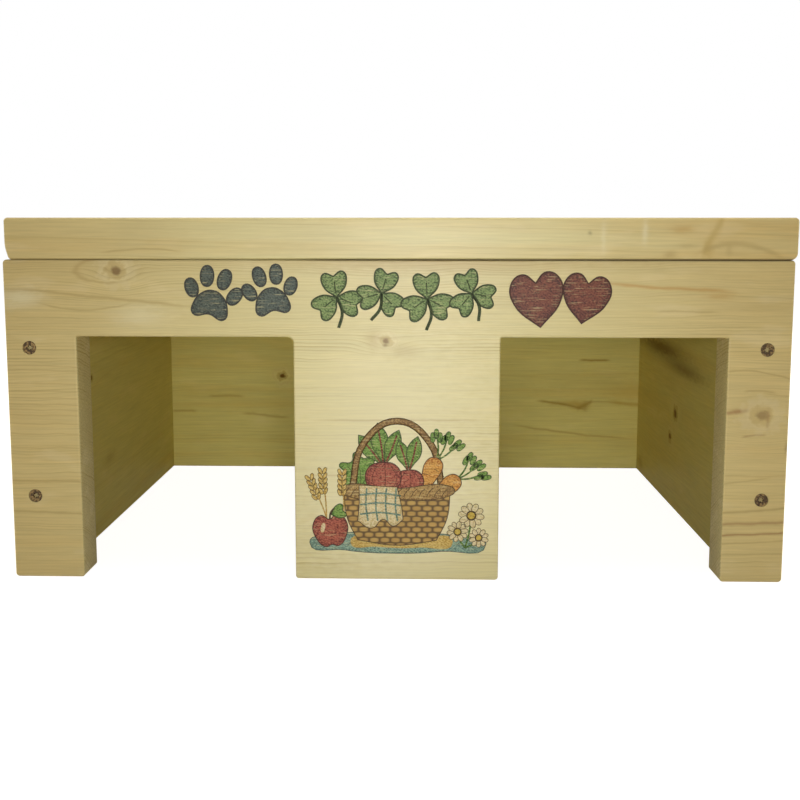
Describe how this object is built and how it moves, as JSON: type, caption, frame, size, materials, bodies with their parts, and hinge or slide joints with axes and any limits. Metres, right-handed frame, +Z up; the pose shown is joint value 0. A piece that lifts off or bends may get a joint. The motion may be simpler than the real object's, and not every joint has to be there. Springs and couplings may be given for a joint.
{
  "type": "guinea pig house",
  "caption": "Low wooden box house for guinea pigs, with a flat roof, two doorways in the front and no floor.",
  "frame": {"origin": "on the ground, at the middle of the four walls; the overall box's middle is 0.75 mm further towards +X, because the roof sits off centre", "axes": "+Z up; the front with its doorways faces -Y; +X is to the right for someone facing the front"},
  "size_m": [0.5115, 0.35, 0.239],
  "materials": {
    "spruce": "planed and sanded spruce, no varnish, edges rounded by hand",
    "screw_steel": "yellow zinc plating, dulled brown",
    "scorched_line": "line burned into the wood",
    "wood_stain": "water stain in several colours, brushed on thin so that the grain shows"
  },
  "bodies": {
    "root": {"front_board": "spruce", "back_board": "spruce", "left_side_board": "spruce", "right_side_board": "spruce", "roof_board": "spruce", "front_screws": "screw_steel", "back_screws": "screw_steel", "roof_screws": "screw_steel"}
  },
  "joints": []
}
